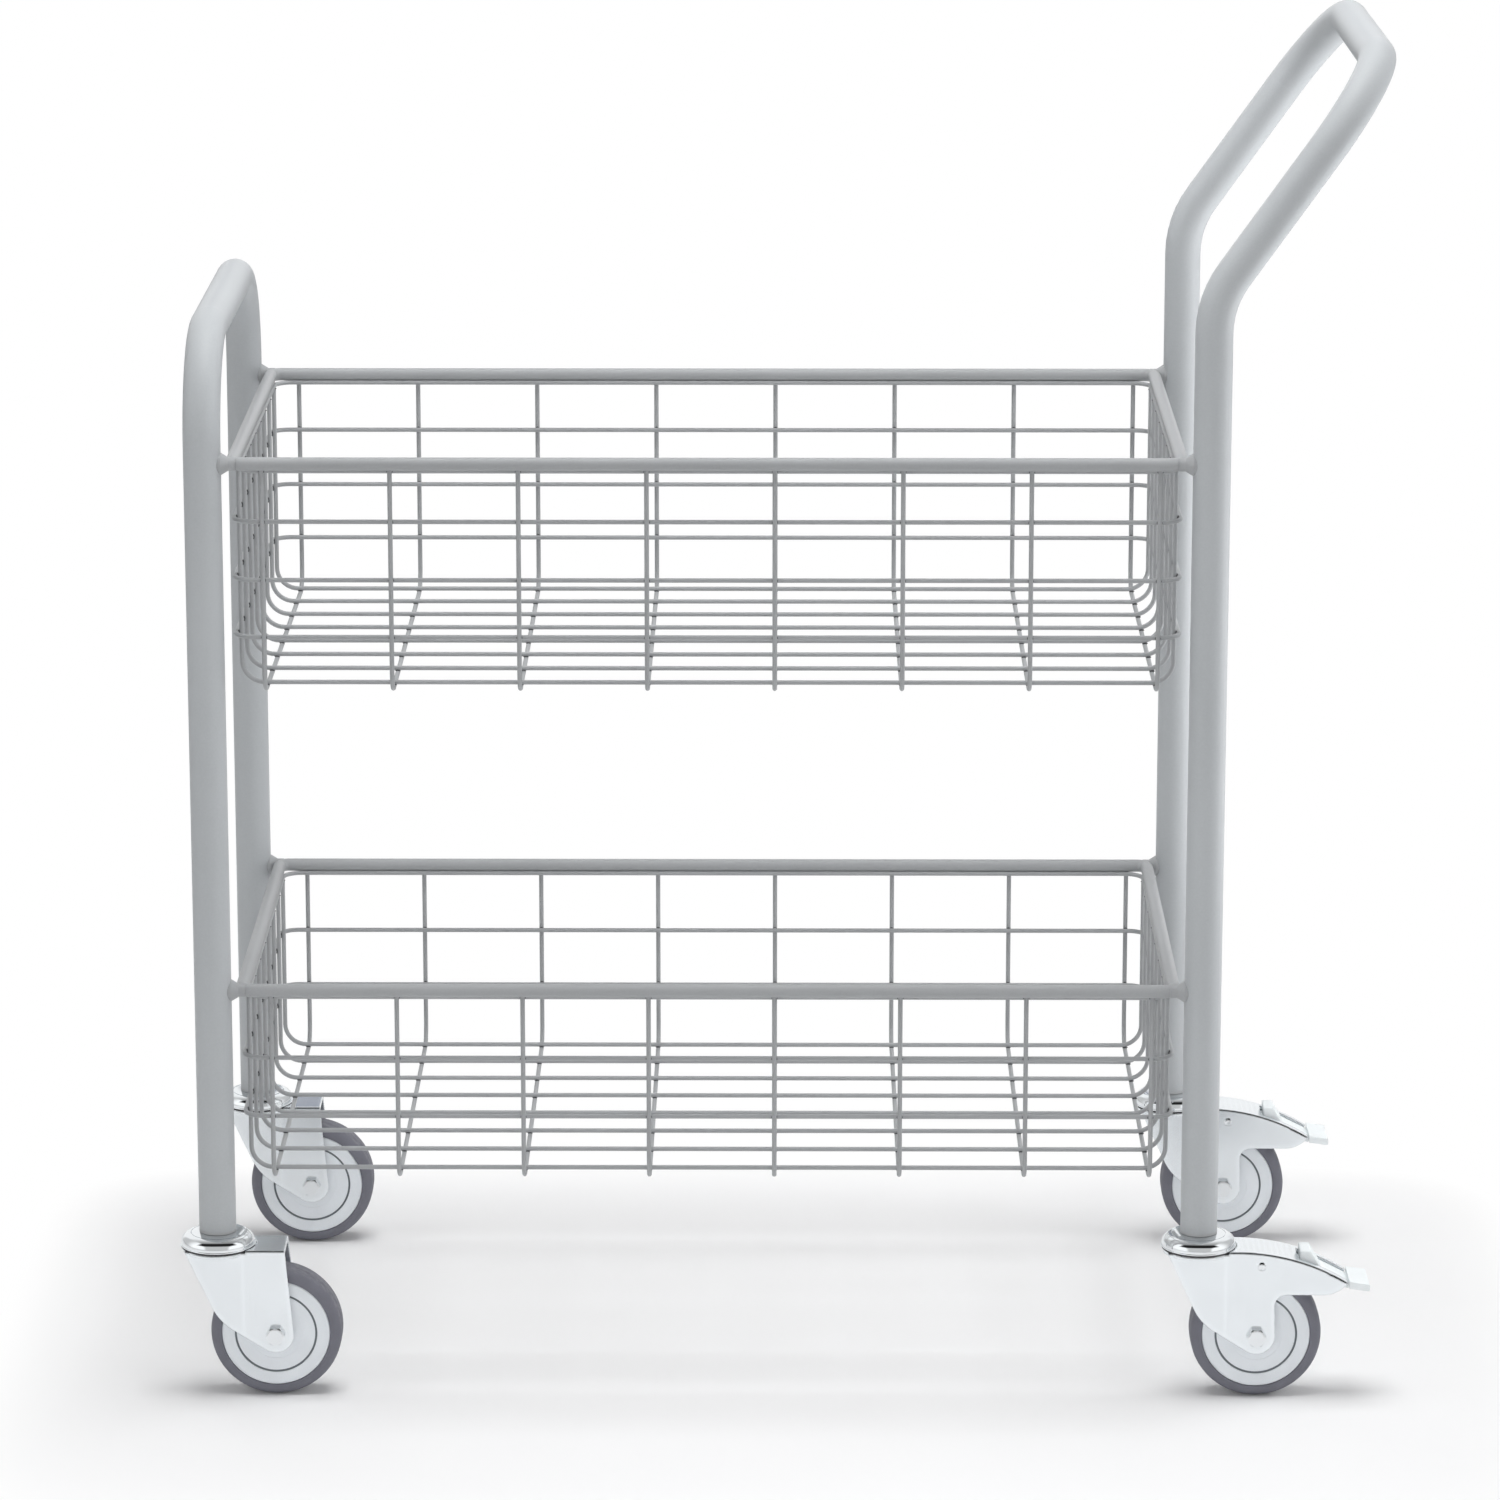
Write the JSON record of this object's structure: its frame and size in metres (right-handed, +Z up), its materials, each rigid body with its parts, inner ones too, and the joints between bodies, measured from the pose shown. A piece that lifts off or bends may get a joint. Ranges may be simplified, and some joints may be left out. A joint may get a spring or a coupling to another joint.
{
  "type": "mail cart",
  "caption": "Tubular office mail cart with a leaning push handle, deep and shallow wire baskets, swivel casters and pedal brakes at the handle end.",
  "frame": {"origin": "floor level, under the middle of the cart's length and width", "axes": "+X towards the push handle, +Y across the cart to its right side, +Z up"},
  "size_m": [0.9112, 0.4322, 1.029],
  "materials": {
    "frame_coat": "light grey powder coat, satin",
    "basket_coat": "light grey powder coat, satin",
    "cap_chrome": "bright chrome plate",
    "fork_zinc": "bright zinc plate",
    "fastener_steel": "zinc plated",
    "bearing_steel": "plain, oiled",
    "hub_plastic": "moulded, half gloss",
    "tyre_rubber": "grey, matt",
    "pedal_plastic": "white, moulded",
    "plug_plastic": "moulded",
    "shoe_rubber": "matt"
  },
  "bodies": {
    "cart_frame": {"front_hoop": "frame_coat", "handle_hoop": "frame_coat", "upper_basket_rim": "basket_coat", "upper_basket_cross_wires": "basket_coat", "upper_basket_long_wires": "basket_coat", "upper_basket_hoop_wires": "basket_coat", "lower_basket_rim": "basket_coat", "lower_basket_cross_wires": "basket_coat", "lower_basket_long_wires": "basket_coat", "lower_basket_hoop_wires": "basket_coat", "front_left_tube_plug": "plug_plastic", "front_left_stem_bolt": "fastener_steel", "front_left_swivel_cap": "cap_chrome", "front_left_thrust_ring": "bearing_steel", "front_right_tube_plug": "plug_plastic", "front_right_stem_bolt": "fastener_steel", "front_right_swivel_cap": "cap_chrome", "front_right_thrust_ring": "bearing_steel", "rear_left_tube_plug": "plug_plastic", "rear_left_stem_bolt": "fastener_steel", "rear_left_swivel_cap": "cap_chrome", "rear_left_thrust_ring": "bearing_steel", "rear_right_tube_plug": "plug_plastic", "rear_right_stem_bolt": "fastener_steel", "rear_right_swivel_cap": "cap_chrome", "rear_right_thrust_ring": "bearing_steel"},
    "front_left_caster": {"front_left_fork": "fork_zinc", "front_left_axle_bolt": "fastener_steel", "front_left_axle_nut": "fastener_steel", "front_left_axle_sleeve": "bearing_steel"},
    "front_left_wheel": {"front_left_wheel_hub": "hub_plastic", "front_left_tyre": "tyre_rubber"},
    "front_right_caster": {"front_right_fork": "fork_zinc", "front_right_axle_bolt": "fastener_steel", "front_right_axle_nut": "fastener_steel", "front_right_axle_sleeve": "bearing_steel"},
    "front_right_wheel": {"front_right_wheel_hub": "hub_plastic", "front_right_tyre": "tyre_rubber"},
    "rear_left_caster": {"rear_left_fork": "fork_zinc", "rear_left_axle_bolt": "fastener_steel", "rear_left_axle_nut": "fastener_steel", "rear_left_axle_sleeve": "bearing_steel", "rear_left_pedal_pin": "fastener_steel"},
    "rear_left_wheel": {"rear_left_wheel_hub": "hub_plastic", "rear_left_tyre": "tyre_rubber"},
    "rear_left_pedal": {"rear_left_brake_pedal": "pedal_plastic", "rear_left_brake_shoe": "shoe_rubber"},
    "rear_right_caster": {"rear_right_fork": "fork_zinc", "rear_right_axle_bolt": "fastener_steel", "rear_right_axle_nut": "fastener_steel", "rear_right_axle_sleeve": "bearing_steel", "rear_right_pedal_pin": "fastener_steel"},
    "rear_right_wheel": {"rear_right_wheel_hub": "hub_plastic", "rear_right_tyre": "tyre_rubber"},
    "rear_right_pedal": {"rear_right_brake_pedal": "pedal_plastic", "rear_right_brake_shoe": "shoe_rubber"}
  },
  "joints": [
    {"name": "front_left_swivel", "type": "hinge", "parent": "cart_frame", "child": "front_left_caster", "pos_m": [-0.42697, -0.1875, 0.1154], "axis": [0, 0, 1], "continuous": true},
    {"name": "front_left_roll", "type": "hinge", "parent": "front_left_caster", "child": "front_left_wheel", "pos_m": [-0.38297, -0.1875, 0.05], "axis": [0, 1, 0], "continuous": true},
    {"name": "front_right_swivel", "type": "hinge", "parent": "cart_frame", "child": "front_right_caster", "pos_m": [-0.42697, 0.1875, 0.1154], "axis": [0, 0, 1], "continuous": true},
    {"name": "front_right_roll", "type": "hinge", "parent": "front_right_caster", "child": "front_right_wheel", "pos_m": [-0.38297, 0.1875, 0.05], "axis": [0, 1, 0], "continuous": true},
    {"name": "rear_left_swivel", "type": "hinge", "parent": "cart_frame", "child": "rear_left_caster", "pos_m": [0.32003, -0.1875, 0.1154], "axis": [0, 0, 1], "continuous": true},
    {"name": "rear_left_roll", "type": "hinge", "parent": "rear_left_caster", "child": "rear_left_wheel", "pos_m": [0.36403, -0.1875, 0.05], "axis": [0, 1, 0], "continuous": true},
    {"name": "rear_left_brake", "type": "hinge", "parent": "rear_left_caster", "child": "rear_left_pedal", "pos_m": [0.36733, -0.1875, 0.106], "axis": [0, 1, 0], "range_deg": [0, 8]},
    {"name": "rear_right_swivel", "type": "hinge", "parent": "cart_frame", "child": "rear_right_caster", "pos_m": [0.32003, 0.1875, 0.1154], "axis": [0, 0, 1], "continuous": true},
    {"name": "rear_right_roll", "type": "hinge", "parent": "rear_right_caster", "child": "rear_right_wheel", "pos_m": [0.36403, 0.1875, 0.05], "axis": [0, 1, 0], "continuous": true},
    {"name": "rear_right_brake", "type": "hinge", "parent": "rear_right_caster", "child": "rear_right_pedal", "pos_m": [0.36733, 0.1875, 0.106], "axis": [0, 1, 0], "range_deg": [0, 8]}
  ]
}
